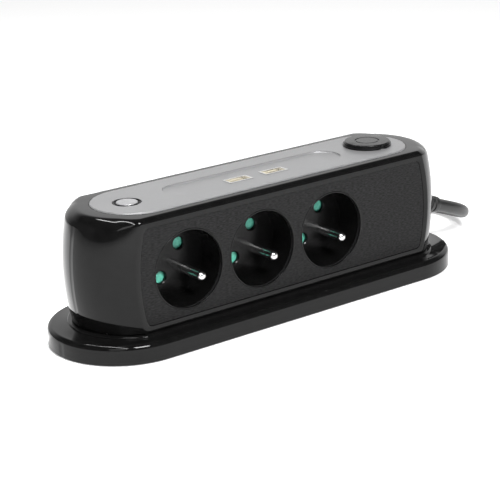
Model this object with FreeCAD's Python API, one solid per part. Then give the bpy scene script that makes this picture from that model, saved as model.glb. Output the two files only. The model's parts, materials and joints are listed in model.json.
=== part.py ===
import FreeCAD
import Part
import math
import os
from FreeCAD import Vector

# Desk power strip with three type E sockets, two USB-A ports, a ring button and a round switch knob.
# Millimetres. Origin at the middle of the footprint on the surface it stands on,
# +X along the strip towards the cord, -Y towards the sockets, +Z up.

# housing
bodyHalfDepth = 28.3
bodyBottom = 12.0
bodyTop = 68.2
noseX = 111.5            # furthest reach of each end, at the height of the bulge
endRadius = 31.2         # plan radius of the rounded ends
bulgeRadius = 110.0      # side-view radius of the rounded ends
bulgeHeight = 38.0
wall = 2.4
topWall = 3.0
topRound = 3.2
cornerRound = 1.0

# plinth
plinthRadius = 38.3
plinthHalf = 83.2        # half the distance between the two end centres
plinthUnder = 0.4        # underside, held up by the feet
plinthTop = 10.2
plinthRound = 2.6
plinthWall = 2.2
plinthCeiling = 8.0
collarTop = 11.4
collarReach = 2.4
neckInset = 1.0
plateTop = 3.0
footRadius = 6.0
footHeight = 1.6

# socket front
panelFront = -28.1
panelSkin = 2.0
panelLow = 15.0
panelHigh = 63.2
panelSide = 3.1          # border between the panel and the corner of the housing
panelCorner = 3.0
panelFlange = 1.6

# sockets
socketRadius = 19.5
socketPitch = 44.5
firstSocketX = -62.4
socketZ = 38.15
socketCount = 3
recessDepth = 17.0
cupWall = 1.4
floorThick = 1.8
holeLean = 37.0          # the line through the two pin holes leans this far from upright
pinHoleOffset = 9.5
pinHoleRadius = 3.0
earthOffset = 10.0
earthRadius = 2.4
earthReach = 16.8

# shutters
shutterThick = 1.4
shutterReach = 13.5
shutterHalfAngle = 22.0
shutterGap = 0.2
chamberDepth = 2.2
pivotRadius = 2.0
runClearance = 0.05

# top panel
topPanelHalf = 73.5
topPanelRadius = 22.0
topPanelRise = 0.5
topPanelThick = 2.0
trayHalf = 44.0
trayRadius = 10.5
trayDepth = 1.0
trayRound = 0.9
trayX = -0.8
buttonX = -78.0
buttonRadius = 5.25
ringInner = 5.4
ringOuter = 7.25
wellLow = 53.0
wellFloor = 54.4
wellNotch = -5.5
knobX = 75.5
knobRadius = 12.2
knobFlange = 12.9
knobTop = 71.4
knobSkin = 1.1
shaftRadius = 2.9
usbXs = (-13.2, 9.4)
usbY = -2.8
usbWide = 13.4
usbDeep = 6.0
boardLow = 53.0
boardTop = 54.6

# cord
cordRadius = 3.6
exitTilt = 17.0          # the strain relief points this far below level
exitHeight = 29.5
exitX = 110.9
reliefReach = 16.0
coilX = 80.0
coilY = 86.0
coilMiddle = 40.0        # radius at the middle of the turns
coilWide = 2             # turns side by side
coilLayers = 3
plugRadius = 18.5
plugHeight = 22.0
pinReach = 19.0
tieWidth = 7.0
tieTurn = -60.0          # where the tie sits round the coil

axisX = noseX - bulgeRadius
endCentre = noseX - endRadius
cornerX = endCentre + math.sqrt(endRadius ** 2 - bodyHalfDepth ** 2)
floorFront = panelFront + recessDepth
floorBack = floorFront + floorThick
cupFront = panelFront + panelSkin
panelBack = -bodyHalfDepth + wall + panelFlange
cupBack = floorBack + chamberDepth
backRear = 5.8
topFace = bodyTop + topPanelRise
panelUnder = topFace - topPanelThick
trayFloor = topFace - trayDepth
cupRadius = socketRadius + cupWall
socketXs = [firstSocketX + i * socketPitch for i in range(socketCount)]
lean = math.radians(holeLean)
alongHoles = Vector(math.sin(lean), 0, math.cos(lean))
towardsEarth = Vector(math.cos(lean), 0, -math.sin(lean))
postSpots = [(sx * 101.8, sy * 14.5) for sx in (-1, 1) for sy in (-1, 1)]
plateSpots = [(sx * 58.0, sy * 27.0) for sx in (-1, 1) for sy in (-1, 1)]
footSpots = [(sx * 92.0, sy * 20.0) for sx in (-1, 1) for sy in (-1, 1)]
exitAxis = Vector(math.cos(math.radians(exitTilt)), 0, -math.sin(math.radians(exitTilt)))
exitPoint = Vector(exitX, 0, exitHeight)
reliefEnd = exitPoint + exitAxis * reliefReach
coilInner = coilMiddle - coilWide * cordRadius
coilOuter = coilMiddle + coilWide * cordRadius
coilHeight = 2 * coilLayers * cordRadius


def box(x0, x1, y0, y1, z0, z1):
    return Part.makeBox(x1 - x0, y1 - y0, z1 - z0, Vector(x0, y0, z0))


def upright(radius, x, y, z0, z1):
    return Part.makeCylinder(radius, z1 - z0, Vector(x, y, z0), Vector(0, 0, 1))


def level(radius, x, z, y0, y1):
    """Cylinder along Y."""
    return Part.makeCylinder(radius, y1 - y0, Vector(x, y0, z), Vector(0, 1, 0))


def along(radius, start, axis, length):
    return Part.makeCylinder(radius, length, start, axis)


def joined(shapes):
    first = shapes[0]
    return first.multiFuse(shapes[1:]).removeSplitter()


def stadium(half, radius, z0, z1, x=0.0, y=0.0):
    """Upright prism with two straight sides and two half-round ends."""
    a = Vector(x - half, y - radius, z0)
    b = Vector(x + half, y - radius, z0)
    c = Vector(x + half, y + radius, z0)
    d = Vector(x - half, y + radius, z0)
    right = Part.Arc(b, Vector(x + half + radius, y, z0), c)
    left = Part.Arc(d, Vector(x - half - radius, y, z0), a)
    edges = [Part.LineSegment(a, b), right, Part.LineSegment(c, d), left]
    wire = Part.Wire([e.toShape() for e in edges])
    return Part.Face(wire).extrude(Vector(0, 0, z1 - z0))


def edges_at(shape, z):
    """Edges that lie wholly in the level plane z."""
    return [e for e in shape.Edges if abs(e.BoundBox.ZMin - z) < 1e-4 and abs(e.BoundBox.ZMax - z) < 1e-4]


def edges_facing(shape, y):
    """Edges that lie wholly in the upright plane y."""
    return [e for e in shape.Edges if abs(e.BoundBox.YMin - y) < 1e-4 and abs(e.BoundBox.YMax - y) < 1e-4]


def housing_block(inset, z0, z1):
    """Housing outline between two heights: flat front and back, ends swept round a level axis."""
    radius = endRadius - inset
    half = bodyHalfDepth - inset
    corner = endCentre + math.sqrt(radius ** 2 - half ** 2)
    a = Vector(axisX, -half, bulgeHeight)
    b = Vector(corner, -half, bulgeHeight)
    tip = Vector(endCentre + radius, 0, bulgeHeight)
    c = Vector(corner, half, bulgeHeight)
    d = Vector(axisX, half, bulgeHeight)
    edges = [Part.LineSegment(a, b), Part.Arc(b, tip, c), Part.LineSegment(c, d), Part.LineSegment(d, a)]
    face = Part.Face(Part.Wire([e.toShape() for e in edges]))
    hub = Vector(axisX, 0, bulgeHeight)
    wheel = face.revolve(hub, Vector(0, 1, 0), 360)
    wheel.rotate(hub, Vector(0, 1, 0), 180)    # turns the surface's seam away from the end
    half_block = wheel.common(box(0, 2 * noseX, -60, 60, z0, z1))
    other = half_block.mirror(Vector(0, 0, 0), Vector(1, 0, 0))
    return half_block.fuse(other).removeSplitter()


def front_outline(grow, y0, y1):
    """Plate in the outline of the socket panel, grown by a margin, between two depths."""
    reach = cornerX - axisX - panelSide + grow
    low = panelLow - grow
    high = panelHigh + grow

    def side(z):
        return axisX + math.sqrt(reach ** 2 - (z - bulgeHeight) ** 2)

    br = Vector(side(low), y0, low)
    tr = Vector(side(high), y0, high)
    right = Vector(axisX + reach, y0, bulgeHeight)
    bl = Vector(-side(low), y0, low)
    tl = Vector(-side(high), y0, high)
    left = Vector(-axisX - reach, y0, bulgeHeight)
    edges = [Part.LineSegment(bl, br), Part.Arc(br, right, tr), Part.LineSegment(tr, tl), Part.Arc(tl, left, bl)]
    plate = Part.Face(Part.Wire([e.toShape() for e in edges])).extrude(Vector(0, y1 - y0, 0))
    ends = [e for e in plate.Edges if e.BoundBox.YLength > 0.5 * (y1 - y0) and e.BoundBox.XLength < 1e-4]
    return plate.makeFillet(panelCorner + grow, ends)


def body_shell():
    block = housing_block(0, bodyBottom, bodyTop)
    block = block.makeFillet(topRound, edges_at(block, bodyTop))
    corners = [e for e in block.Edges if e.BoundBox.ZLength > 0.8 * (bodyTop - bodyBottom)]
    block = block.makeFillet(cornerRound, corners)
    shell = block.cut(housing_block(wall, bodyBottom - 1, bodyTop - topWall))
    shell = shell.cut(front_outline(0.1, -bodyHalfDepth - 1, -bodyHalfDepth + wall + 1))
    shell = shell.cut(stadium(topPanelHalf, topPanelRadius + 0.1, panelUnder, bodyTop + 1))
    shell = shell.cut(stadium(topPanelHalf, topPanelRadius - 3.0, bodyTop - topWall - 1, panelUnder + 1))
    shell = shell.cut(along(5.1, exitPoint - exitAxis * 8, exitAxis, 16))
    inside = housing_block(0.8, bodyBottom, bodyTop - 1)
    for x, y in postSpots:
        post = upright(3.7, x, y, bodyBottom, 34).common(inside)
        shell = shell.fuse(post).cut(upright(1.5, x, y, bodyBottom - 1, 31))
    for x in (-31.0, 24.0):
        shell = shell.fuse(box(x, x + 3, 17, bodyHalfDepth - wall / 2, 49, boardLow))
    return shell.removeSplitter()


def base_cover():
    rim = stadium(plinthHalf, plinthRadius, plinthUnder, plinthTop)
    rim = rim.makeFillet(plinthRound, edges_at(rim, plinthTop))
    collar = housing_block(-collarReach, plinthTop - 1, collarTop)
    collar = collar.makeFillet(0.8, edges_at(collar, collarTop))
    neck = housing_block(neckInset, collarTop - 1, bodyBottom)
    cover = joined([rim, collar, neck])
    cover = cover.cut(stadium(plinthHalf, plinthRadius - plinthWall, plinthUnder - 1, plinthCeiling))
    cover = cover.cut(box(-55, 55, -16, 16, plinthCeiling - 1, bodyBottom + 1))
    for x, y in postSpots:
        cover = cover.cut(upright(1.7, x, y, plinthCeiling - 1, bodyBottom + 1))
    for x, y in plateSpots:
        cover = cover.fuse(upright(3.6, x, y, plateTop, plinthCeiling + 0.5))
        cover = cover.cut(upright(1.5, x, y, plateTop - 1, 7.8))
    return cover.removeSplitter()


def bottom_plate():
    plate = stadium(plinthHalf, plinthRadius - plinthWall - 0.2, plinthUnder, plateTop)
    for x, y in plateSpots:
        plate = plate.cut(upright(1.7, x, y, 0, plateTop + 1)).cut(upright(3.0, x, y, 0, 2.0))
    for x, y in footSpots:
        plate = plate.cut(upright(footRadius + 0.1, x, y, 0, footHeight))
    return plate


def rubber_feet():
    feet = []
    for x, y in footSpots:
        foot = upright(footRadius, x, y, 0, footHeight)
        feet.append(foot.makeFillet(0.4, edges_at(foot, 0)))
    return Part.makeCompound(feet)


def screws(spots, head_low, head_high, head_radius, tip):
    """Pan-head screws pointing up, head below."""
    made = []
    for x, y in spots:
        head = upright(head_radius, x, y, head_low, head_high)
        head = head.makeFillet(0.3, edges_at(head, head_low))
        slot = box(x - 1.6, x + 1.6, y - 0.3, y + 0.3, head_low - 1, head_low + 0.5)
        cross = box(x - 0.3, x + 0.3, y - 1.6, y + 1.6, head_low - 1, head_low + 0.5)
        shank = upright(1.45, x, y, head_high, tip)
        made.append(head.fuse(shank).cut(slot).cut(cross))
    return Part.makeCompound(made)


def front_panel():
    plate = front_outline(0, panelFront, -bodyHalfDepth + wall)
    flange = front_outline(panelFlange, -bodyHalfDepth + wall, panelBack)
    plate = plate.fuse(flange)
    for x in socketXs:
        plate = plate.cut(level(socketRadius, x, socketZ, panelFront - 1, panelBack + 1))
        plate = plate.cut(level(cupRadius + 0.1, x, socketZ, cupFront, panelBack + 1))
        chamfer = Part.makeCone(socketRadius + 0.9, socketRadius - 0.1, 1.0,
                                Vector(x, panelFront - 0.4, socketZ), Vector(0, 1, 0))
        plate = plate.cut(chamfer)
    return plate


def hole_centre(x, side):
    return Vector(x, 0, socketZ) + alongHoles * (side * pinHoleOffset)


def earth_centre(x):
    return Vector(x, 0, socketZ) + towardsEarth * earthOffset


def socket_cup(x):
    cup = level(cupRadius, x, socketZ, cupFront, cupBack)
    cup = cup.fuse(level(22.0, x, socketZ, panelBack, panelBack + 1.5))
    cup = cup.cut(level(socketRadius, x, socketZ, cupFront - 1, floorFront))
    cup = cup.cut(level(socketRadius, x, socketZ, floorBack, cupBack + 1))
    for side in (-1, 1):
        centre = hole_centre(x, side)
        cup = cup.cut(level(pinHoleRadius, centre.x, centre.z, floorFront - 1, floorBack + 1))
        lead_in = Part.makeCone(pinHoleRadius + 0.5, pinHoleRadius, 0.5,
                                Vector(centre.x, floorFront, centre.z), Vector(0, 1, 0))
        cup = cup.cut(lead_in)
    earth = earth_centre(x)
    cup = cup.cut(level(earthRadius + 0.02, earth.x, earth.z, floorFront - 1, floorBack + 1))
    return cup.fuse(level(pivotRadius, x, socketZ, floorBack - 1, cupBack + 0.6)).removeSplitter()


def socket_back(x):
    """Moulding behind the cup that holds the contacts and shuts the shutter chamber."""
    block = level(cupRadius, x, socketZ, cupBack, cupBack + 1.2)
    block = block.fuse(level(14.5, x, socketZ, cupBack + 1, backRear))
    for side in (-1, 1):
        centre = hole_centre(x, side)
        block = block.cut(level(3.4, centre.x, centre.z, cupBack - 1, backRear + 1))
    earth = earth_centre(x)
    block = block.cut(level(1.6, earth.x, earth.z, cupBack - 1, backRear + 1))
    block = block.cut(level(4.2, x, socketZ, cupBack - 1, cupBack + 1.6))
    return block


def shutter(x):
    """Two-winged plate that turns on the stud behind the socket floor."""
    front = floorBack + shutterGap
    back = front + shutterThick
    hub = level(4.4, x, socketZ, front, back)
    plate = hub
    for turn in (0, 180):
        wing = Part.makeCylinder(shutterReach, shutterThick, Vector(x, front, socketZ),
                                 Vector(0, 1, 0), 2 * shutterHalfAngle)
        start = holeLean - shutterHalfAngle + turn
        wing.rotate(Vector(x, 0, socketZ), Vector(0, 1, 0), start)
        plate = plate.fuse(wing)
    plate = plate.removeSplitter()
    return plate.cut(level(pivotRadius + runClearance, x, socketZ, front - 1, back + 1))


def coil_spring(radius, wire, pitch, height, x, y, z):
    """Round-wire spring standing up from z."""
    helix = Part.makeHelix(pitch, height, radius)
    start = helix.Edges[0].valueAt(helix.Edges[0].FirstParameter)
    profile = Part.Wire([Part.makeCircle(wire / 2, start, Vector(0, 1, pitch / (2 * math.pi * radius)))])
    spring = Part.Wire(helix.Edges).makePipeShell([profile], True, True)
    spring.translate(Vector(x, y, z))
    return spring


def shutter_spring(x):
    """Torsion spring round the stud, behind the shutter."""
    spring = coil_spring(3.0, 0.5, 0.65, 1.3, 0, 0, 0)
    spring.rotate(Vector(0, 0, 0), Vector(1, 0, 0), -90)
    spring.translate(Vector(x, floorBack + shutterThick + 0.6, socketZ))
    return spring


def earth_pin(x):
    earth = earth_centre(x)
    tip = floorFront - earthReach
    pin = level(earthRadius, earth.x, earth.z, tip, cupBack)
    pin = pin.makeFillet(2.0, edges_facing(pin, tip))
    return pin.fuse(level(1.4, earth.x, earth.z, cupBack, 9.0)).removeSplitter()


def contact_rail(side, low, high, reach):
    """Brass strip with one slotted contact tube for each socket."""
    first = hole_centre(socketXs[0], side)
    last = hole_centre(socketXs[-1], side)
    rail = box(first.x - 4, last.x + reach, 6.0, 7.0, socketZ + low, socketZ + high)
    for x in socketXs:
        centre = hole_centre(x, side)
        rail = rail.fuse(level(3.3, centre.x, centre.z, cupBack + 0.2, 6.0))
        rail = rail.cut(level(2.35, centre.x, centre.z, cupBack - 1, 5.0))
        for wide, tall in ((7, 0.8), (0.8, 7)):
            slot = box(centre.x - wide / 2, centre.x + wide / 2, cupBack - 1, 2.0,
                       centre.z - tall / 2, centre.z + tall / 2)
            rail = rail.cut(slot)
    return rail.removeSplitter()


def earth_rail():
    first = earth_centre(socketXs[0])
    last = earth_centre(socketXs[-1])
    return box(first.x - 4, last.x + 12, 9.0, 10.0, first.z - 2.5, first.z + 2.5)


def top_panel():
    plate = stadium(topPanelHalf, topPanelRadius, panelUnder, topFace)
    plate = plate.makeChamfer(0.45, edges_at(plate, topFace))
    tray = stadium(trayHalf, trayRadius, trayFloor, topFace + 1, trayX)
    plate = plate.cut(tray.makeFillet(trayRound, edges_at(tray, trayFloor)))
    plate = plate.cut(upright(ringOuter + 0.05, buttonX, 0, panelUnder - 1, topFace + 1))
    plate = plate.cut(upright(4.2, knobX, 0, panelUnder - 1, topFace + 1))
    for x in usbXs:
        plate = plate.cut(box(x - usbWide / 2 - 0.1, x + usbWide / 2 + 0.1,
                              usbY - usbDeep / 2 - 0.1, usbY + usbDeep / 2 + 0.1, panelUnder - 1, topFace + 1))
    return plate


def usb_shell(x):
    half = usbWide / 2
    deep = usbDeep / 2
    shell = box(x - half, x + half, usbY - deep, usbY + deep, boardTop, trayFloor)
    rim = box(x - half - 0.5, x + half + 0.5, usbY - deep - 0.5, usbY + deep + 0.5, trayFloor, trayFloor + 0.3)
    shell = shell.fuse(rim)
    return shell.cut(box(x - half + 0.4, x + half - 0.4, usbY - deep + 0.4, usbY + deep - 0.4,
                         boardTop + 0.4, topFace + 1)).removeSplitter()


def usb_tongue(x):
    block = box(x - 6.2, x + 6.2, usbY - 2.5, usbY + 2.5, boardTop + 0.4, boardTop + 2.0)
    tongue = box(x - 5.6, x + 5.6, usbY - 0.2, usbY + 1.8, boardTop + 2.0, trayFloor - 1.2)
    return block.fuse(tongue).removeSplitter()


def usb_board():
    return box(-34, 30, -5.7, 20.5, boardLow, boardTop)


def charger_parts():
    """Transformer and capacitors of the USB supply, on both sides of its board."""
    transformer = box(-22, -4, 8, 20, boardTop, boardTop + 9)
    chip = box(6, 14, 9, 14, boardTop, boardTop + 1.6)
    cans = [upright(3.6, x, 15, boardTop, boardTop + 8.5) for x in (0.5, 19.5)]
    return Part.makeCompound([transformer, chip] + cans)


def light_ring():
    ring = upright(ringOuter, buttonX, 0, 64.5, topFace - 0.1)
    ring = ring.fuse(upright(9.0, buttonX, 0, 65.5, panelUnder))
    return ring.cut(upright(ringInner, buttonX, 0, 60, topFace + 1)).removeSplitter()


def button_well():
    """Cup under the ring button, notched where it meets the first socket."""
    well = upright(9.0, buttonX, 0, wellLow, 65.5)
    well = well.cut(upright(7.8, buttonX, 0, wellFloor, 66))
    return well.cut(level(cupRadius + 1.5, firstSocketX, socketZ, -12, wellNotch))


def ring_button():
    cap = upright(buttonRadius, buttonX, 0, 63.0, topFace + 0.3)
    cap = cap.makeFillet(0.5, edges_at(cap, topFace + 0.3))
    collar = upright(7.3, buttonX, 0, 63.0, 64.0)
    stem = upright(2.4, buttonX, 0, 58.7, 63.0)
    return joined([cap, collar, stem])


def button_spring():
    return coil_spring(4.2, 0.6, 1.25, 5.0, buttonX, 0, 57.5)


def button_switch():
    case = box(buttonX - 4.5, buttonX + 4.5, -4.5, 4.5, wellFloor, 57.0)
    return case.fuse(upright(1.4, buttonX, 0, 57.0, 57.1))


def switch_knob():
    knob = upright(knobFlange, knobX, 0, topFace + 0.2, 70.2)
    cap = upright(knobRadius, knobX, 0, 70.0, knobTop)
    knob = knob.fuse(cap.makeFillet(0.5, edges_at(cap, knobTop)))
    ceiling = knobTop - knobSkin
    hollow = upright(10.6, knobX, 0, topFace, ceiling).cut(upright(5.2, knobX, 0, topFace, ceiling))
    knob = knob.cut(hollow).cut(upright(shaftRadius + 0.03, knobX, 0, topFace, ceiling))
    notch = upright(1.6, knobX, -knobRadius - 0.9, topFace, knobTop + 1)
    emblem = upright(6.6, knobX, 0, knobTop - 0.3, knobTop + 1).cut(upright(5.8, knobX, 0, knobTop - 0.3, knobTop + 1))
    return knob.cut(notch).cut(emblem).removeSplitter()


def knob_shaft():
    return upright(shaftRadius, knobX, 0, 54.0, knobTop - knobSkin)


def rotary_switch():
    case = box(knobX - 11, knobX + 11, -10, 10, 50.0, 59.0)
    bush = upright(4.1, knobX, 0, 59.0, topFace - 0.7)
    nut = upright(7.0, knobX, 0, 63.5, panelUnder)
    case = joined([case, bush, nut])
    return case.cut(upright(shaftRadius + runClearance, knobX, 0, 53.5, topFace + 1))


def cord_clamp():
    """Saddle inside the housing that grips the cord's sheath."""
    saddle = box(90, 98, -9, 9, bodyBottom, 37)
    return saddle.cut(along(cordRadius + 0.05, Vector(85, 0, 31.3), Vector(1, 0, 0), 20))


def path_tube(points, radius, name=""):
    """Tube of straight runs and tangent arcs, each arc as large as its two runs allow."""
    spots = [Vector(*p) for p in points]
    edges = []
    last = spots[0]
    length = 0.0
    radii = []
    for before, here, after in zip(spots, spots[1:], spots[2:]):
        run = min((here - before).Length, (after - here).Length)
        back = (before - here).normalize()
        ahead = (after - here).normalize()
        turn = math.pi - back.getAngle(ahead)
        reach = 0.45 * run
        bend = reach / math.tan(turn / 2)
        enter = here + back * reach
        leave = here + ahead * reach
        middle = (back + ahead).normalize()
        centre = here + middle * (bend / math.cos(turn / 2))
        edges.append(Part.LineSegment(last, enter).toShape())
        edges.append(Part.Arc(enter, centre - middle * bend, leave).toShape())
        length += (enter - last).Length + bend * turn
        radii.append(round(bend, 1))
        last = leave
    edges.append(Part.LineSegment(last, spots[-1]).toShape())
    length += (spots[-1] - last).Length
    circle = Part.Wire([Part.makeCircle(radius, spots[0], (spots[1] - spots[0]).normalize())])
    tube = Part.Wire(edges).makePipeShell([circle], True, False)
    ideal = math.pi * radius ** 2 * length
    print(f"{name}: length {length:.1f}, radii {radii}, volume ratio {tube.Volume / ideal:.4f}")
    return tube


# The cord's route, from the strain relief to the coil and from the coil to the plug.
leadRoute = [
    tuple(reliefEnd),
    (144.4, 1.3, 18.4),
    (159.4, 10.6, 11.0),
    (168.6, 25.4, 6.1),
    (171.2, 43.2, 4.0),
    (167.2, 61.0, 3.6),
    (157.5, 77.0, 3.6),
    (146.5, 92.5, 3.6),
    (134.0, 106.0, 3.6),
    (120.0, 116.5, 3.6),
    (104.5, 124.5, 3.6),
]
tailRoute = [
    (44.7, 111.6, 18.0),
    (34.7, 98.6, 15.2),
    (22.2, 86.8, 12.0),
    (7.5, 78.2, 9.6),
    (-9.5, 72.6, 9.0),
]
plugEntry = Vector(*tailRoute[-1])
plugAxis = Vector(-17.0, -5.6, 0).normalize()
plugCentre = plugEntry + plugAxis * 39.0
acrossPlug = Vector(-plugAxis.y, plugAxis.x, 0)


def strain_relief():
    """Tapered sleeve, leaning down from the end wall, with a flange inside it."""
    neck = along(5.0, exitPoint - exitAxis * 7, exitAxis, 7.5)
    flange = along(7.0, exitPoint - exitAxis * 7, exitAxis, 2.5)
    sleeve = Part.makeCone(6.0, 4.5, reliefReach - 0.4, exitPoint + exitAxis * 0.4, exitAxis)
    return joined([neck, flange, sleeve])


def cord_coil():
    """Outer shape of the wound turns."""
    ring = upright(coilOuter, coilX, coilY, 0, coilHeight)
    ring = ring.cut(upright(coilInner, coilX, coilY, -1, coilHeight + 1))
    return ring.makeFillet(2.4, [e for e in ring.Edges if e.BoundBox.ZLength < 1e-4])


def coil_tie():
    """Flat band round the turns at one place."""
    band = box(coilInner - 1, coilOuter + 1, -tieWidth / 2, tieWidth / 2, 0, coilHeight + 1)
    band = band.makeFillet(1.6, [e for e in band.Edges if e.BoundBox.YLength > 0.9 * tieWidth])
    band = band.cut(box(coilInner, coilOuter, -tieWidth, tieWidth, 0.8, coilHeight))
    band.rotate(Vector(0, 0, 0), Vector(0, 0, 1), tieTurn)
    band.translate(Vector(coilX, coilY, 0))
    return band


def plug_body():
    """Round side-entry plug lying on its back, with its tapered cord sleeve."""
    disc = upright(plugRadius, plugCentre.x, plugCentre.y, 0, plugHeight)
    disc = disc.makeFillet(3.0, edges_at(disc, 0))
    disc = disc.makeFillet(1.0, edges_at(disc, plugHeight))
    sleeve = Part.makeCone(7.5, 4.5, 26.0, plugEntry + plugAxis * 26.0, plugAxis * -1)
    body = disc.fuse(sleeve)
    for side in (-1, 1):
        pin = plugCentre + acrossPlug * (side * pinHoleOffset)
        body = body.cut(upright(earthRadius + 0.02, pin.x, pin.y, 14.0, plugHeight + 1))
        flank = plugCentre + plugAxis * (side * plugRadius)
        body = body.cut(upright(2.6, flank.x, flank.y, 8.0, plugHeight + 1))
    earth = plugCentre + plugAxis * earthOffset
    return body.cut(upright(2.6, earth.x, earth.y, 4.0, plugHeight + 1)).removeSplitter()


def plug_pins():
    pins = []
    for side in (-1, 1):
        spot = plugCentre + acrossPlug * (side * pinHoleOffset)
        pin = upright(earthRadius, spot.x, spot.y, 14.0, plugHeight + pinReach)
        pins.append(pin.makeFillet(1.6, edges_at(pin, plugHeight + pinReach)))
    return Part.makeCompound(pins)


def inner_wires():
    """Stripped sheath end in the clamp and the three cores that run to the rails."""
    y, z = 0.0, 31.3
    sheath = along(cordRadius, Vector(86, y, z), Vector(1, 0, 0), 17.8)
    live = [(86, 0, z + 2.0), (76, 0.5, 34.5), (66, 3, 39.5), (57, 5.5, 44.5), (47.3, 6.5, socketZ + 7.6)]
    neutral = [(86, -1.9, z - 1.1), (76, 0, 29.5), (62, 5, 28.3), (46.9, 6.5, socketZ - 10.0)]
    earth = [(86, 1.9, z - 1.1), (76, 4, 30.8), (62, 8, 31.6), (46.6, 9.5, socketZ - 6.0)]
    cores = [path_tube(p, 1.2, "core") for p in (live, neutral, earth)]
    return Part.makeCompound([sheath] + cores)


def save(node, shape):
    if not shape.isValid():
        print("not valid:", node)
    shape.exportStep(f"parts/{node}.step")


os.makedirs("parts", exist_ok=True)

save("body_shell", body_shell())
save("base_cover", base_cover())
save("bottom_plate", bottom_plate())
save("rubber_feet", rubber_feet())
save("base_screws", screws(plateSpots, 1.1, 2.0, 2.8, 7.6))
save("body_screws", screws(postSpots, 5.8, plinthCeiling, 3.2, 30.0))
save("front_panel", front_panel())
for number, x in enumerate(socketXs, 1):
    save(f"socket_cup_{number}", socket_cup(x))
    save(f"socket_back_{number}", socket_back(x))
    save(f"shutter_{number}", shutter(x))
    save(f"shutter_spring_{number}", shutter_spring(x))
    save(f"earth_pin_{number}", earth_pin(x))
save("live_rail", contact_rail(1, 5.0, 10.2, 15.0))
save("neutral_rail", contact_rail(-1, -12.0, -8.0, 26.0))
save("earth_rail", earth_rail())
save("top_panel", top_panel())
for number, x in enumerate(usbXs, 1):
    save(f"usb_shell_{number}", usb_shell(x))
    save(f"usb_tongue_{number}", usb_tongue(x))
save("usb_board", usb_board())
save("charger_parts", charger_parts())
save("light_ring", light_ring())
save("button_well", button_well())
save("ring_button", ring_button())
save("button_spring", button_spring())
save("button_switch", button_switch())
save("switch_knob", switch_knob())
save("knob_shaft", knob_shaft())
save("rotary_switch", rotary_switch())
save("cord_clamp", cord_clamp())
save("inner_wires", inner_wires())
save("strain_relief", strain_relief())
save("cord_lead", path_tube(leadRoute, cordRadius, "lead"))
save("cord_coil", cord_coil())
save("cord_tail", path_tube(tailRoute, cordRadius, "tail"))
save("coil_tie", coil_tie())
save("plug_body", plug_body())
save("plug_pins", plug_pins())
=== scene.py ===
import json
import math

import bmesh
import bpy
import numpy as np
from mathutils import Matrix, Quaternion, Vector


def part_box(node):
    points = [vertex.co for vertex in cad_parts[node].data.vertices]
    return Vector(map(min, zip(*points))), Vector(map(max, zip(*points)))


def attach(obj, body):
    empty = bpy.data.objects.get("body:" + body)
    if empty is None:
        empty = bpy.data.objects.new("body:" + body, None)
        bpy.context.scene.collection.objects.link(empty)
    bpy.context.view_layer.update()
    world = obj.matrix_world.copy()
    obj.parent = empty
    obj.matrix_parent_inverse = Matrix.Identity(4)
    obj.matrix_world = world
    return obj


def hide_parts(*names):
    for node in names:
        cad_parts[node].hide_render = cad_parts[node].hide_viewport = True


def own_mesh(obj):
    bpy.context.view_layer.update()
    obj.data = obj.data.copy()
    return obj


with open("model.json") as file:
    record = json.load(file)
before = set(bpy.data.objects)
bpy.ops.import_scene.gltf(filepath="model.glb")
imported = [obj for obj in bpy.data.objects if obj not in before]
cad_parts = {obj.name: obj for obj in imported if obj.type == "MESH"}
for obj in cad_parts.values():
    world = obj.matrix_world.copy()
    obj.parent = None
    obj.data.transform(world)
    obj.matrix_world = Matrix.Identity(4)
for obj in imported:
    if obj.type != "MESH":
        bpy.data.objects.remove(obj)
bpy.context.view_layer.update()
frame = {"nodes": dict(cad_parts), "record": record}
mm = 0.001


def boxMm(node):
    # lowest and highest corner of a CAD node, in millimetres
    low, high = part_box(node)
    return np.array(low) / mm, np.array(high) / mm


print("stage: camera, floor and light")

cameraSettings = {
    "place": (-0.46920, -0.62495, 0.28730),
    "turn": (71.545, 1.897, -37.233),      # degrees about X, Y, Z
    "lens": 114.47,
}


def makeCamera():
    data = bpy.data.cameras.new("camera")
    data.lens = cameraSettings["lens"]
    data.clip_start = 0.01
    camera = bpy.data.objects.new("camera", data)
    camera.location = cameraSettings["place"]
    camera.rotation_euler = [math.radians(a) for a in cameraSettings["turn"]]
    bpy.context.scene.collection.objects.link(camera)
    bpy.context.scene.camera = camera


def linkNodes(tree, *links):
    # each link is (node, output name, node, input name)
    for source, output, target, entry in links:
        tree.links.new(source.outputs[output], target.inputs[entry])


stageSettings = {
    "floorSize": 6.0,
    "floorColour": (0.86, 0.86, 0.86),
    "floorGlow": 0.45,
    "backGlow": 1.1,                       # added on the part of the floor behind the object
    "backEdge": (0.803, 0.596, 0.0815),    # that part lies where a x + b y + c is above nought
    "backReach": 0.7,
    "skyLow": (1.0, 1.0, 1.0),
    "skyHigh": (0.1, 0.1, 0.1),
    "skyStrength": 1.0,
    "skyRamp": (0.42, 0.60),               # upward shares of a ray between which the sky darkens
    "leftStrength": 0.2,                   # the left side of the room is darker
    "frontShare": 0.1,                     # and so is the front
}


def mathNode(tree, operation, *values):
    # the result of a math node; each value is a number or a (node, output name) pair
    node = tree.nodes.new("ShaderNodeMath")
    node.operation = operation
    for entry, value in zip(node.inputs, values):
        if isinstance(value, tuple):
            tree.links.new(value[0].outputs[value[1]], entry)
        else:
            entry.default_value = value
    return node, "Value"


def rampNode(tree, source, low, high, first=0.0, last=1.0):
    # smooth step of a value from first to last as it goes from low to high
    node = tree.nodes.new("ShaderNodeMapRange")
    node.interpolation_type = "SMOOTHSTEP"
    tree.links.new(source[0].outputs[source[1]], node.inputs["Value"])
    node.inputs["From Min"].default_value = low
    node.inputs["From Max"].default_value = high
    node.inputs["To Min"].default_value = first
    node.inputs["To Max"].default_value = last
    return node, "Result"


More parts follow.
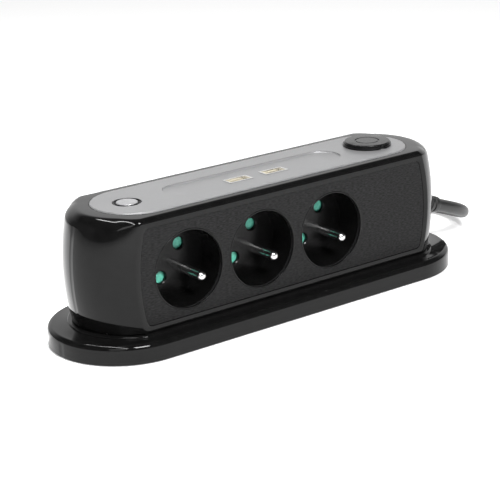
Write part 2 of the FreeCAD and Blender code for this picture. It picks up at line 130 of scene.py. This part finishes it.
def floorGlow(tree):
    # the floor's own light: even, and stronger in a broad patch behind the object
    a, b, c = stageSettings["backEdge"]
    reach = stageSettings["backReach"]
    glow = stageSettings["floorGlow"]
    coords = tree.nodes.new("ShaderNodeTexCoord")
    split = tree.nodes.new("ShaderNodeSeparateXYZ")
    far = tree.nodes.new("ShaderNodeVectorMath")
    far.operation = "LENGTH"
    linkNodes(tree, (coords, "Object", split, "Vector"), (coords, "Object", far, "Vector"))
    alongX = mathNode(tree, "MULTIPLY_ADD", (split, "X"), a, c)
    along = mathNode(tree, "MULTIPLY_ADD", (split, "Y"), b, alongX)
    side = rampNode(tree, along, -0.001, 0.003)
    behind = rampNode(tree, (split, "Y"), 0.0, 0.01)
    near = rampNode(tree, (far, "Value"), 0.6 * reach, reach, 1.0, 0.0)
    left = rampNode(tree, (split, "X"), -0.05, 0.02, 1.0, 0.0)
    patch = mathNode(tree, "MULTIPLY", side, behind)
    patch = mathNode(tree, "MULTIPLY", patch, near)
    patch = mathNode(tree, "MULTIPLY", patch, left)
    return mathNode(tree, "MULTIPLY_ADD", patch, stageSettings["backGlow"], glow)


def makeFloor():
    bpy.ops.mesh.primitive_plane_add(size=stageSettings["floorSize"])
    floor = bpy.context.object
    floor.name = "floor"
    material = bpy.data.materials.new("paleFloor")
    material.use_nodes = True
    tree = material.node_tree
    shader = tree.nodes["Principled BSDF"]
    shader.inputs["Base Color"].default_value = (*stageSettings["floorColour"], 1)
    shader.inputs["Roughness"].default_value = 0.9
    shader.inputs["Specular IOR Level"].default_value = 0.1
    shader.inputs["Emission Color"].default_value = (1, 1, 1, 1)
    glow, output = floorGlow(tree)
    linkNodes(tree, (glow, output, shader, "Emission Strength"))
    floor.data.materials.append(material)


lights = [
    # name, place, aimed at, width, length, power, turn about its own axis
    ("stripLight", (-0.3, -0.08, 1.0), (-0.3, -0.08, 0.0), 0.05, 1.85, 7.5, -20.6),
    ("fill", (-1.6, -1.5, 1.3), (0, 0, 0.03), 1.0, 1.0, 8, 0),
    ("frontTop", (-0.15, -1.0, 1.15), (0, 0, 0.03), 0.45, 0.45, 26, 0),
]


def makeLight(name, place, target, width, length, power, spin):
    data = bpy.data.lights.new(name, "AREA")
    data.shape = "RECTANGLE"
    data.size = width
    data.size_y = length
    data.energy = power
    light = bpy.data.objects.new(name, data)
    light.location = place
    aim = Vector(target) - Vector(place)
    own = Quaternion((0, 0, 1), math.radians(spin))
    light.rotation_euler = (aim.to_track_quat("-Z", "Y") @ own).to_euler()
    bpy.context.scene.collection.objects.link(light)


def makeWorld():
    # a room that is pale at the horizon and dark overhead, and darker at its left and front
    world = bpy.data.worlds.new("studio")
    bpy.context.scene.world = world
    world.use_nodes = True
    tree = world.node_tree
    back = tree.nodes["Background"]
    coords = tree.nodes.new("ShaderNodeTexCoord")
    split = tree.nodes.new("ShaderNodeSeparateXYZ")
    ramp = tree.nodes.new("ShaderNodeValToRGB")
    skies = (stageSettings["skyLow"], stageSettings["skyHigh"])
    for stop, place, colour in zip(ramp.color_ramp.elements, stageSettings["skyRamp"], skies):
        stop.position = place
        stop.color = (*colour, 1)
    linkNodes(tree, (coords, "Generated", split, "Vector"), (split, "Z", ramp, "Fac"),
              (ramp, "Color", back, "Color"))
    sides = rampNode(tree, (split, "X"), -0.5, 0.1, stageSettings["leftStrength"],
                     stageSettings["skyStrength"])
    depth = rampNode(tree, (split, "Y"), -0.15, 0.25, stageSettings["frontShare"], 1.0)
    strength, output = mathNode(tree, "MULTIPLY", sides, depth)
    linkNodes(tree, (strength, output, back, "Strength"))


makeCamera()
makeFloor()
makeWorld()
for light in lights:
    makeLight(*light)
bpy.context.scene.view_settings.view_transform = "Standard"

print("stage: finishes")


def finish(name, look):
    # a Principled surface: a fine grain sets its colour and its relief, a broad cloud its roughness
    material = bpy.data.materials.new(name)
    material.use_nodes = True
    tree = material.node_tree
    shader = tree.nodes["Principled BSDF"]
    shader.inputs["Metallic"].default_value = look.get("metallic", 0.0)
    shader.inputs["Specular IOR Level"].default_value = look.get("shine", 0.5)
    coords = tree.nodes.new("ShaderNodeTexCoord")
    stretch = tree.nodes.new("ShaderNodeMapping")
    stretch.inputs["Scale"].default_value = look.get("stretch", (1, 1, 1))
    grain = tree.nodes.new("ShaderNodeTexNoise")
    grain.inputs["Scale"].default_value = look["grain"]
    grain.inputs["Detail"].default_value = 4
    cloud = tree.nodes.new("ShaderNodeTexNoise")
    cloud.inputs["Scale"].default_value = 45
    cloud.inputs["Detail"].default_value = 3
    tint = tree.nodes.new("ShaderNodeValToRGB")
    spread = look.get("spread", 0.18)
    tint.color_ramp.elements[0].position = 0.5 - spread
    tint.color_ramp.elements[0].color = (*look["dark"], 1)
    tint.color_ramp.elements[1].position = 0.5 + spread
    tint.color_ramp.elements[1].color = (*look["light"], 1)
    rough = tree.nodes.new("ShaderNodeMapRange")
    rough.inputs["To Min"].default_value = look["rough"][0]
    rough.inputs["To Max"].default_value = look["rough"][1]
    bump = tree.nodes.new("ShaderNodeBump")
    bump.inputs["Strength"].default_value = look.get("bump", 0.1)
    bump.inputs["Distance"].default_value = look.get("relief", 0.02) * mm
    linkNodes(tree, (coords, "Object", stretch, "Vector"), (stretch, "Vector", grain, "Vector"),
              (coords, "Object", cloud, "Vector"), (grain, "Fac", tint, "Fac"),
              (tint, "Color", shader, "Base Color"), (cloud, "Fac", rough, "Value"),
              (rough, "Result", shader, "Roughness"), (grain, "Fac", bump, "Height"),
              (bump, "Normal", shader, "Normal"))
    return material


finishes = {
    "gloss_black": {
        "dark": (0.004, 0.004, 0.004), "light": (0.006, 0.006, 0.006), "rough": (0.04, 0.08),
        "grain": 260, "bump": 0.05, "relief": 0.01, "shine": 0.22,
    },
    "satin_black": {
        "dark": (0.012, 0.012, 0.012), "light": (0.02, 0.02, 0.02), "rough": (0.35, 0.5),
        "grain": 2500, "bump": 0.3,
    },
    "charcoal_panel": {
        "dark": (0.004, 0.004, 0.004), "light": (0.02, 0.02, 0.0205), "rough": (0.42, 0.6),
        "grain": 2100, "stretch": (0.25, 1, 1), "spread": 0.15, "bump": 0.8, "relief": 0.05,
        "shine": 0.14,
    },
    "socket_black": {
        "dark": (0.002, 0.002, 0.002), "light": (0.004, 0.004, 0.004), "rough": (0.2, 0.3),
        "grain": 2200, "bump": 0.15, "shine": 0.2,
    },
    "shutter_green": {
        "dark": (0.10, 0.52, 0.38), "light": (0.16, 0.66, 0.50), "rough": (0.3, 0.45),
        "grain": 900, "bump": 0.1,
    },
    "silver_panel": {
        "dark": (0.28, 0.28, 0.285), "light": (0.36, 0.36, 0.365), "rough": (0.34, 0.44),
        "grain": 5200, "bump": 0.25, "metallic": 0.35,
    },
    "silver_button": {
        "dark": (0.42, 0.42, 0.43), "light": (0.54, 0.54, 0.55), "rough": (0.28, 0.4),
        "grain": 4200, "bump": 0.2, "metallic": 0.5,
    },
    "smoke_ring": {
        "dark": (0.008, 0.008, 0.009), "light": (0.014, 0.014, 0.015), "rough": (0.2, 0.3),
        "grain": 800, "bump": 0.05, "shine": 0.25,
    },
    "knob_black": {
        "dark": (0.004, 0.004, 0.004), "light": (0.008, 0.008, 0.008), "rough": (0.16, 0.26),
        "grain": 3000, "bump": 0.2, "relief": 0.02, "shine": 0.3,
    },
    "bright_metal": {
        "dark": (0.74, 0.74, 0.74), "light": (0.84, 0.84, 0.84), "rough": (0.2, 0.3),
        "grain": 900, "stretch": (1, 0.1, 1), "bump": 0.1, "metallic": 1.0,
    },
    "contact_brass": {
        "dark": (0.56, 0.38, 0.14), "light": (0.70, 0.50, 0.22), "rough": (0.24, 0.4),
        "grain": 700, "stretch": (0.1, 1, 1), "metallic": 1.0,
    },
    "spring_steel": {
        "dark": (0.42, 0.42, 0.42), "light": (0.56, 0.56, 0.57), "rough": (0.25, 0.4),
        "grain": 1200, "metallic": 1.0,
    },
    "screw_steel": {
        "dark": (0.42, 0.42, 0.42), "light": (0.58, 0.58, 0.59), "rough": (0.25, 0.4),
        "grain": 1200, "metallic": 1.0,
    },
    "usb_tongue": {
        "dark": (0.84, 0.75, 0.56), "light": (0.92, 0.85, 0.68), "rough": (0.35, 0.5),
        "grain": 900,
    },
    "circuit_board": {
        "dark": (0.012, 0.11, 0.04), "light": (0.03, 0.2, 0.08), "rough": (0.25, 0.4),
        "grain": 400,
    },
    "charger_parts": {
        "dark": (0.08, 0.07, 0.04), "light": (0.2, 0.17, 0.09), "rough": (0.3, 0.5),
        "grain": 300,
    },
    "wire_sheath": {
        "dark": (0.09, 0.09, 0.09), "light": (0.14, 0.14, 0.14), "rough": (0.4, 0.55),
        "grain": 900,
    },
    "foot_rubber": {
        "dark": (0.014, 0.014, 0.014), "light": (0.026, 0.026, 0.026), "rough": (0.65, 0.85),
        "grain": 1800, "bump": 0.5,
    },
    "cord_black": {
        "dark": (0.008, 0.008, 0.008), "light": (0.014, 0.014, 0.014), "rough": (0.32, 0.46),
        "grain": 1300, "bump": 0.3,
    },
    "tie_black": {
        "dark": (0.014, 0.014, 0.014), "light": (0.03, 0.03, 0.03), "rough": (0.5, 0.7),
        "grain": 1500, "bump": 0.5,
    },
    "plug_black": {
        "dark": (0.008, 0.008, 0.008), "light": (0.014, 0.014, 0.014), "rough": (0.28, 0.42),
        "grain": 1700, "bump": 0.35,
    },
}
materials = {name: finish(name, look) for name, look in finishes.items()}
slotOf = {s["node"]: s["material_slot"] for s in frame["record"]["subparts"]}

weldReach = 0.002 * mm
edgeAngle = math.radians(28)


def dressNode(node):
    # a CAD node gets its finish, and shading that is smooth except at real edges
    piece = frame["nodes"][node]
    piece.data.materials.clear()
    piece.data.materials.append(materials[slotOf[node]])
    piece.data.shade_smooth()
    weld = piece.modifiers.new("weld", "WELD")
    weld.merge_threshold = weldReach
    split = piece.modifiers.new("split", "EDGE_SPLIT")
    split.split_angle = edgeAngle


for node in frame["nodes"]:
    dressNode(node)


def ringQuads(rows, columns, closed=False):
    # quads between neighbouring rings of a grid whose columns wrap round
    i = np.arange(rows if closed else rows - 1)[:, None]
    j = np.arange(columns)[None, :]
    below = (i + 1) % rows
    after = (j + 1) % columns
    corners = [i * columns + j, i * columns + after, below * columns + after, below * columns + j]
    return np.stack(corners, -1)


mergeReach = 0.001 * mm
sharpAngle = math.radians(30)


def meshPiece(name, points, quads, slot, body, replaced=()):
    # points in millimetres; shared points are merged, faces turned outwards and real edges kept sharp
    mesh = bpy.data.meshes.new(name)
    mesh.from_pydata((np.asarray(points) * mm).tolist(), [], np.asarray(quads).tolist())
    work = bmesh.new()
    work.from_mesh(mesh)
    bmesh.ops.remove_doubles(work, verts=work.verts, dist=mergeReach)
    bmesh.ops.dissolve_degenerate(work, edges=work.edges, dist=mergeReach)
    bmesh.ops.recalc_face_normals(work, faces=work.faces)
    work.to_mesh(mesh)
    work.free()
    mesh.shade_smooth()
    mesh.set_sharp_from_angle(angle=sharpAngle)
    mesh.materials.append(materials[slot])
    piece = bpy.data.objects.new(name, mesh)
    bpy.context.scene.collection.objects.link(piece)
    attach(piece, body)
    if replaced:
        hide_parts(*replaced)
    return piece


def roundedLine(corners, radii, steps):
    # a line through the corners, each inner one an arc: the spokes to the arc's two ends, in shares
    # of sin(total - turn) and sin(turn) over sin(total)
    spots = np.array(corners, float)
    made = [spots[0]]
    for before, here, after, radius in zip(spots, spots[1:], spots[2:], radii):
        back = (before - here) / np.linalg.norm(before - here)
        ahead = (after - here) / np.linalg.norm(after - here)
        half = math.acos(np.clip(back @ ahead, -1, 1)) / 2
        reach = radius / math.tan(half)
        middle = (back + ahead) / np.linalg.norm(back + ahead)
        centre = here + middle * radius / math.sin(half)
        total = math.pi - 2 * half
        turn = np.linspace(0, total, steps + 1)[:, None]
        first = here + back * reach - centre
        last = here + ahead * reach - centre
        spokes = (np.sin(total - turn) * first + np.sin(turn) * last) / math.sin(total)
        made.extend(centre + spokes)
    made.append(spots[-1])
    return np.array(made)


def lathe(profile, base, axis, count, closed=False):
    # a profile of (radius, height) pairs carried round an axis from base:
    # base + radius (side cos turn + other sin turn) + height axis
    axis = np.array(axis, float) / np.linalg.norm(axis)
    side = np.cross(axis, (0, 1, 0) if abs(axis[1]) < 0.9 else (1, 0, 0))
    side /= np.linalg.norm(side)
    other = np.cross(axis, side)
    turn = np.linspace(0, 2 * math.pi, count, endpoint=False)[:, None]
    spokes = side * np.cos(turn) + other * np.sin(turn)
    radius = profile[:, 0][:, None, None]
    height = profile[:, 1][:, None, None]
    points = np.array(base, float) + radius * spokes + height * axis
    return points.reshape(-1, 3), ringQuads(len(profile), count, closed).reshape(-1, 4)


print("stage: cord")

cordSettings = {
    "diameter": 7.2,
    "coilPlace": (80.0, 86.0),
    "coilMiddle": 40.0,
    "turns": 5,
    "perTurn": 20,
    "startAngle": 57.5,
    "endAngle": 144.0,
    "ease": 0.18,            # share of a turn over which the cord steps to the next row
    "swell": 1.004,          # the curve runs just inside its control points
}
# the cord's route, from the strain relief to the coil and from the coil to the plug
leadRoute = [
    (126.2, 0.0, 24.8),
    (144.4, 1.3, 18.4),
    (159.4, 10.6, 11.0),
    (168.6, 25.4, 6.1),
    (171.2, 43.2, 4.0),
    (167.2, 61.0, 3.6),
    (157.5, 77.0, 3.6),
    (146.5, 92.5, 3.6),
    (134.0, 106.0, 3.6),
    (120.0, 116.5, 3.6),
]
tailRoute = [
    (34.7, 98.6, 15.2),
    (22.2, 86.8, 12.0),
    (7.5, 78.2, 9.6),
    (-9.5, 72.6, 9.0),
]


def coilTurns():
    # a circle, centre + radius (cos angle, sin angle), whose radius and height step smoothly
    # from one row of turns to the next
    s = cordSettings
    half = s["diameter"] / 2
    radii = s["coilMiddle"] + half * np.array([1, -1, -1, 1, 1, 1])
    heights = half * np.array([1, 1, 3, 3, 5, 5])
    span = s["turns"] + (s["endAngle"] - s["startAngle"]) / 360
    t = np.linspace(0, span, int(round(span * s["perTurn"])) + 1)
    row = np.minimum(np.floor(t).astype(int), len(radii) - 2)
    step = np.clip((t - row - (1 - s["ease"])) / s["ease"], 0, 1)
    step = step * step * (3 - 2 * step)
    radius = (radii[row] * (1 - step) + radii[row + 1] * step) * s["swell"]
    height = heights[row] * (1 - step) + heights[row + 1] * step
    angle = np.radians(s["startAngle"]) + 2 * math.pi * t
    x = s["coilPlace"][0] + radius * np.cos(angle)
    y = s["coilPlace"][1] + radius * np.sin(angle)
    return list(zip(x, y, height))


def makeCord():
    route = leadRoute + coilTurns() + tailRoute
    data = bpy.data.curves.new("cord", "CURVE")
    data.dimensions = "3D"
    data.bevel_depth = cordSettings["diameter"] / 2 * mm
    data.bevel_resolution = 6
    data.use_fill_caps = True
    data.resolution_u = 6
    line = data.splines.new("NURBS")
    line.points.add(len(route) - 1)
    for point, spot in zip(line.points, route):
        point.co = (*[c * mm for c in spot], 1)
    line.order_u = 3
    line.use_endpoint_u = True
    data.materials.append(materials["cord_black"])
    cord = bpy.data.objects.new("cord", data)
    bpy.context.scene.collection.objects.link(cord)
    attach(cord, "housing")
    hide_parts("cord_lead", "cord_coil", "cord_tail")
    runs = np.diff(np.array(route), axis=0)
    print("cord runs add up to", round(float(np.linalg.norm(runs, axis=1).sum()), 1), "mm")
    return cord


cord = makeCord()

print("stage: housing")

bodyLow, bodyHigh = boxMm("body_shell")
housing = {
    "halfDepth": bodyHigh[1],
    "bottom": bodyLow[2],
    "top": bodyHigh[2],
    "nose": bodyHigh[0],
    "endRadius": 31.2,
    "bulgeRadius": 110.0,
    "bulgeHeight": 38.0,
    "wall": 2.4,
    "roof": 3.0,
    "topRound": 2.8,
    "endRound": 5.4,         # the roof's edge is rounder at the middle of each end
    "endBlend": 7.0,
    "cornerRound": 1.0,
    "flatSteps": 97,
    "cornerSteps": 7,
    "endSteps": 65,
    "sideRows": 65,
    "scoreDepth": 0.16,
    "panelHalf": 73.5,       # the straight half of the hole for the top panel
    "panelGap": 0.1,
    "panelEdge": 0.2,        # bevel round that hole
    "panelLedge": 3.1,       # width of the ledge that the panel lies on
}
axisX = housing["nose"] - housing["bulgeRadius"]
endCentre = housing["nose"] - housing["endRadius"]
turnSteps = np.linspace(0, math.pi, housing["flatSteps"])
flatSteps = -np.cos(turnSteps)          # from -1 to 1, closer together near both ends
# column of each ring at the middle of the right end
endColumn = housing["flatSteps"] + (housing["endSteps"] + 2 * housing["cornerSteps"]) // 2 - 2


def swept(x, z):
    # where x of the plan at the bulge's height comes to at height z, on a circle round the level axis:
    # axis + sqrt((x - axis)^2 - (z - bulge height)^2)
    return axisX + np.sqrt((x - axisX) ** 2 - (z - housing["bulgeHeight"]) ** 2)


def endAngles(half, radius, corner):
    # directions of the outline's normal round one end: corner arc, end arc, corner arc
    lean = math.asin((half - corner) / (radius - corner))
    small = np.linspace(-math.pi / 2, -lean, housing["cornerSteps"])
    large = np.linspace(-lean, lean, housing["endSteps"])
    return small, large, -small[::-1]


def closedRing(endX, endY, flatX, flatY, z):
    # front flat, right end, back flat and left end, the left being the right turned half round
    front = np.stack([flatSteps * flatX, np.full_like(flatSteps, -flatY)], -1)
    right = np.stack([endX, endY], -1)
    half = np.concatenate([front, right[1:-1]])
    ring = np.concatenate([half, -half])
    return np.concatenate([ring, np.full((len(ring), 1), z)], 1)


def housingRing(inset, z):
    # the housing's outline at height z, moved inwards by inset: an end arc and two corner arcs, each
    # centre + radius (cos, sin) of the outline's normal, with flats between
    h = housing["halfDepth"] - inset
    r = housing["endRadius"] - inset
    c = housing["cornerRound"]
    small, large, last = endAngles(h, r, c)
    cornerX = endCentre + math.sqrt((r - c) ** 2 - (h - c) ** 2)
    large = large[1:-1]
    x = np.concatenate([cornerX + c * np.cos(small), endCentre + r * np.cos(large),
                        cornerX + c * np.cos(last)])
    y = np.concatenate([c - h + c * np.sin(small), r * np.sin(large), h - c + c * np.sin(last)])
    return closedRing(swept(x, z), y, swept(cornerX, z), h, z)


def stadiumRing(half, radius, z):
    # straight sides and half-round ends, half + radius (cos a, sin a), with a as on the housing's ring
    h = housing
    small, large, last = endAngles(h["halfDepth"], h["endRadius"], h["cornerRound"])
    a = np.concatenate([small, large[1:-1], last])
    return closedRing(half + radius * np.cos(a), radius * np.sin(a), half, radius, z)


def filletRings(ring, inset, z, radius, steps=9):
    # quarter-round edge: rings that move in by r(1 - cos) while they rise by r sin
    turn = np.linspace(0, math.pi / 2, steps)[1:]
    return [ring(inset + radius * (1 - math.cos(a)), z + radius * math.sin(a)) for a in turn]


def roofShare():
    # how much of the rounder roof edge each point of a ring takes, none on the flats and all at the
    # ends: t^2 (3 - 2 t), t being the way in from the flat
    h = housing["halfDepth"]
    y = np.abs(housingRing(0, housing["bulgeHeight"])[:, 1])
    t = np.clip((h - y) / housing["endBlend"], 0, 1)
    return (t * t * (3 - 2 * t))[:, None]


def outerRings(share):
    # the side wall's rings, then the roof's edge: tight + share (round - tight) at each point
    s = housing
    mix = roofShare()
    made = []
    for radius in (s["topRound"], s["endRound"]):
        shoulder = s["top"] - radius
        rings = [housingRing(0, s["bottom"] + f * (shoulder - s["bottom"])) for f in share]
        rings += filletRings(housingRing, 0, shoulder, radius, 11)
        made.append(np.array(rings))
    return made[0] + mix * (made[1] - made[0])


def scored(grid, rows, columns, depth):
    # a fine mould line: the points of some columns move towards the upright axis by the depth
    for column in columns:
        spot = grid[rows, column, :2]
        grid[rows, column, :2] = spot * (1 - depth / np.linalg.norm(spot, axis=-1, keepdims=True))


opening = {
    "low": 15.0,
    "high": 63.2,
    "side": 3.1,             # from the housing's sharp corner
    "corner": 3.0,
    "gap": 0.1,
    "lip": 0.35,             # width and depth of the lip's rounding
    "lipDepth": 0.1,         # the middle of the rounding is this deep
    "lipGrow": 0.12,         # and this much wider than the opening
}


def openingLoop(where, grow, y):
    # the front opening's outline at the shares (across, up) in where: its sides are swept as the
    # housing's ends are, and a corner's points are drawn on to centre + r (cos, sin)
    s, t = where[:, 0], where[:, 1]
    low = opening["low"] - grow
    high = opening["high"] + grow
    r = opening["corner"] + grow
    h = housing["halfDepth"]
    sharpX = endCentre + math.sqrt(housing["endRadius"] ** 2 - h ** 2)
    reach = sharpX - axisX - opening["side"] + grow
    z = low + t * (high - low)
    x = np.abs(s) * (axisX + np.sqrt(reach ** 2 - (z - housing["bulgeHeight"]) ** 2))
    for end, turn in ((high, 1), (low, -1)):
        cz = end - turn * r
        cx = axisX + math.sqrt((reach - r) ** 2 - (cz - housing["bulgeHeight"]) ** 2)
        least = math.atan2(turn * (cz - housing["bulgeHeight"]), cx - axisX)
        dx, dz = x - cx, turn * (z - cz)
        angle = np.arctan2(dz, dx)
        inCorner = (dx > 0) & (dz > -r) & (angle > least)
        x = np.where(inCorner, cx + r * np.cos(angle), x)
        z = np.where(inCorner, cz + turn * r * np.sin(angle), z)
    return np.stack([np.sign(s) * x, np.full_like(x, y), z], -1)


def rimOf(block):
    # the edge of a grid of points, once round
    return np.concatenate([block[0, :-1], block[:-1, -1], block[-1, :0:-1], block[:0:-1, 0]])


def panelHole(roofUnder):
    # the roof's hole for the top panel, from its bevel down past the ledge to the roof's underside
    s = housing
    low, high = boxMm("top_panel")
    radius = high[1] + s["panelGap"]
    bevel = s["panelEdge"]
    inner = radius - s["panelLedge"]
    steps = [(radius + bevel, s["top"]), (radius, s["top"] - bevel), (radius, low[2]), (inner, low[2]),
             (inner, roofUnder)]
    return [stadiumRing(s["panelHalf"], reach, z) for reach, z in steps]


def makeHousing():
    # rings up the outside, through the roof's hole and down the inside make a closed grid; its front is
    # left out, inside and outside, and loops round the opening join the two edges
    s = housing
    k = s["sideRows"]
    share = (1 - np.cos(math.pi * np.linspace(0, 1, k))) / 2
    roofUnder = s["top"] - s["roof"]
    inner = [housingRing(s["wall"], s["bottom"] + f * (roofUnder - s["bottom"])) for f in share]
    grid = np.array([*outerRings(share), *panelHole(roofUnder), *inner[::-1]])
    rows, columns = grid.shape[:2]
    scored(grid, slice(1, k), (endColumn, endColumn + columns // 2), s["scoreDepth"])
    quads = ringQuads(rows, columns, closed=True)
    flat = s["flatSteps"]
    keep = np.ones(quads.shape[:2], bool)
    keep[:k - 1, :flat - 1] = False
    keep[rows - k:rows - 1, :flat - 1] = False
    up, across = np.meshgrid(share, flatSteps, indexing="ij")
    where = rimOf(np.stack([across, up], -1))
    face = -s["halfDepth"]
    gap = opening["gap"]
    loops = np.array([
        rimOf(grid[:k, :flat]),
        openingLoop(where, gap + opening["lip"], face),
        openingLoop(where, gap + opening["lipGrow"], face + opening["lipDepth"]),
        openingLoop(where, gap, face + opening["lip"]),
        openingLoop(where, gap, face + s["wall"]),
        rimOf(grid[rows - k:, :flat][::-1]),
    ])
    points = np.concatenate([grid.reshape(-1, 3), loops.reshape(-1, 3)])
    frontQuads = ringQuads(len(loops), loops.shape[1]).reshape(-1, 4) + rows * columns
    quads = np.concatenate([quads[keep], frontQuads])
    meshPiece("housing_shell", points, quads, "gloss_black", "housing", ["body_shell"])


makeHousing()

print("stage: plinth")

coverLow, coverHigh = boxMm("base_cover")
plinth = {
    "radius": coverHigh[1],
    "half": coverHigh[0] - coverHigh[1],
    "under": coverLow[2],
    "top": 10.2,
    "round": 2.6,
    "wall": 2.2,
    "ceiling": 8.0,
    "collarTop": 11.4,
    "collarReach": 2.4,
    "collarRound": 0.8,
    "neckInset": 1.0,
    "hollow": 12.0,
    "scoreDepth": 0.25,
    "scoreShift": 2,         # columns from the middle of the end to the mould line
    "edge": 0.3,             # bevel at the foot
    "wallStart": 0.8,        # height of the upright wall's first row above the foot
    "footFlare": 0.4,        # the collar's foot is wider by this where it meets the plinth
    "footRise": 0.1,
    "rowGap": 0.05,          # from the collar's last upright row to its rounding
}


def plinthRim(inset, z):
    # the plinth's outline at height z, moved inwards by inset
    return stadiumRing(plinth["half"], plinth["radius"] - inset, z)


def makePlinth():
    # rings up the plinth's rim, in to the collar and over it, then down the neck and the hollow inside
    s = plinth
    shoulder = s["top"] - s["round"]
    reach = s["collarReach"]
    rise = s["footRise"]
    collarShoulder = s["collarTop"] - s["collarRound"]
    rings = [plinthRim(s["edge"], s["under"]), plinthRim(0, s["under"] + s["edge"])]
    rings += [plinthRim(0, z) for z in np.linspace(s["under"] + s["wallStart"], shoulder, 5)]
    rims = len(rings)
    rings += filletRings(plinthRim, 0, shoulder, s["round"])
    rings += [housingRing(-reach - s["footFlare"], s["top"]),
              housingRing(-reach - rise, s["top"] + rise),
              housingRing(-reach, collarShoulder - s["rowGap"])]
    rings += filletRings(housingRing, -reach, collarShoulder, s["collarRound"], 7)
    rings += [housingRing(s["neckInset"], s["collarTop"]),
              housingRing(s["neckInset"], housing["bottom"]),
              housingRing(s["hollow"], housing["bottom"]),
              housingRing(s["hollow"], s["ceiling"]),
              plinthRim(s["wall"], s["ceiling"]),
              plinthRim(s["wall"], s["under"])]
    grid = np.array(rings)
    column = endColumn + s["scoreShift"]
    scored(grid, slice(1, rims), (column, column + grid.shape[1] // 2), s["scoreDepth"])
    quads = ringQuads(*grid.shape[:2], closed=True).reshape(-1, 4)
    meshPiece("plinth_cover", grid.reshape(-1, 3), quads, "gloss_black", "housing", ["base_cover"])


makePlinth()

print("stage: socket rims")

socketRim = {
    "places": [(-62.4, 38.15), (-17.9, 38.15), (26.6, 38.15)],
    "face": -28.1,
    "middle": 19.85,
    "halfWidth": 0.42,
    "proud": 0.16,
    "deep": 0.6,
}


def makeRims():
    # a low bead round the mouth of each socket, sunk into the panel; its top is half an ellipse,
    # (middle + half width cos turn, proud sin turn)
    s = socketRim
    turn = np.linspace(0, math.pi, 13)
    arc = np.stack([s["middle"] + s["halfWidth"] * np.cos(turn), s["proud"] * np.sin(turn)], -1)
    foot = [(s["middle"] - s["halfWidth"], -s["deep"]), (s["middle"] + s["halfWidth"], -s["deep"])]
    profile = np.concatenate([arc, foot])
    parts = [lathe(profile, (x, s["face"], z), (0, -1, 0), 128, closed=True)
             for x, z in s["places"]]
    points = np.concatenate([p for p, q in parts])
    quads = np.concatenate([q + i * len(parts[0][0]) for i, (p, q) in enumerate(parts)])
    meshPiece("socket_rims", points, quads, slotOf["socket_cup_1"], "housing")


makeRims()

print("stage: light ring")

lightRing = {
    "place": (-78.0, 0.0, 0.0),
    # (radius, height): the sleeve, its flange, the outer lip, the dish and the inner lip
    "section": [(5.4, 64.5), (7.25, 64.5), (7.25, 65.5), (9, 65.5), (9, 66.7), (7.25, 66.7),
                (7.25, 68.5), (7.15, 68.6), (6.98, 68.58), (6.8, 68.25), (6.55, 68.05),
                (6.3, 67.98), (6.05, 68.05), (5.82, 68.25), (5.65, 68.58), (5.5, 68.6), (5.4, 68.5)],
}


def makeLightRing():
    # a ring round the button, its top dished between two thin lips: the section turned about an upright
    section = np.array(lightRing["section"])
    points, quads = lathe(section, lightRing["place"], (0, 0, 1), 128, closed=True)
    meshPiece("dished_ring", points, quads, slotOf["light_ring"], "housing", ["light_ring"])


makeLightRing()

print("stage: button spring")

buttonSpring = {
    "place": (-78.0, 0.0),
    "radius": 4.2,
    "wire": 0.3,
    "low": 57.5,
    "high": 62.5,
    "turns": 4,
    "perTurn": 36,
    "joint": "ring_button_press",
    "keep": 0.73,            # share of its height left when the button is down
}


def makeSpring():
    # a round wire along a helix, closed to a point at both ends: the wire's own turn u rides on the
    # helix's turn t, with reach = radius + wire cos u and height + wire sin u
    s = buttonSpring
    t = np.linspace(0, s["turns"], s["turns"] * s["perTurn"] + 1)
    share = t / s["turns"]
    t = 2 * math.pi * np.concatenate([t[:1], t, t[-1:]])[:, None]
    share = np.concatenate([share[:1], share, share[-1:]])[:, None]
    wire = np.full_like(t, s["wire"])
    wire[[0, -1]] = 0
    u = np.linspace(0, 2 * math.pi, 12, endpoint=False)[None, :]
    reach = s["radius"] + wire * np.cos(u)
    x = s["place"][0] + reach * np.cos(t)
    y = s["place"][1] + reach * np.sin(t)
    z = s["low"] + share * (s["high"] - s["low"]) + wire * np.sin(u)
    points = np.stack([x, y, z], -1)
    quads = ringQuads(*points.shape[:2]).reshape(-1, 4)
    points = points.reshape(-1, 3)
    slot = slotOf["button_spring"]
    spring = meshPiece("press_spring", points, quads, slot, "housing", ["button_spring"])
    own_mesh(spring)


makeSpring()

print("stage: strain relief")

relief = {
    "base": (110.9, 0.0, 29.5),
    "tilt": 17.0,            # degrees below level
    # (radius, along): the flange inside, the neck in the wall, the collar, two ribs and the tip
    "corners": [(0, -7), (7, -7), (7, -4.5), (5, -4.5), (5, -0.6), (6.6, -0.6), (6.3, 4.4), (4.9, 5.2),
                (4.9, 5.9), (5.35, 6.2), (5.2, 8.0), (4.6, 8.3), (4.6, 9.1), (5.05, 9.4), (4.9, 11.2),
                (4.3, 11.5), (4.3, 12.3), (4.75, 12.6), (4.5, 16.0), (0, 16.0)],
    "rounds": [0.4] * 6 + [0.14] * 11 + [0.5],
}


def makeRelief():
    # the rounded profile turned about the cord's line, which slopes down from the wall
    s = relief
    profile = roundedLine(s["corners"], s["rounds"], 4)
    tilt = math.radians(s["tilt"])
    points, quads = lathe(profile, s["base"], (math.cos(tilt), 0, -math.sin(tilt)), 64)
    meshPiece("relief_sleeve", points, quads, slotOf["strain_relief"], "housing", ["strain_relief"])


makeRelief()

print("stage: done")
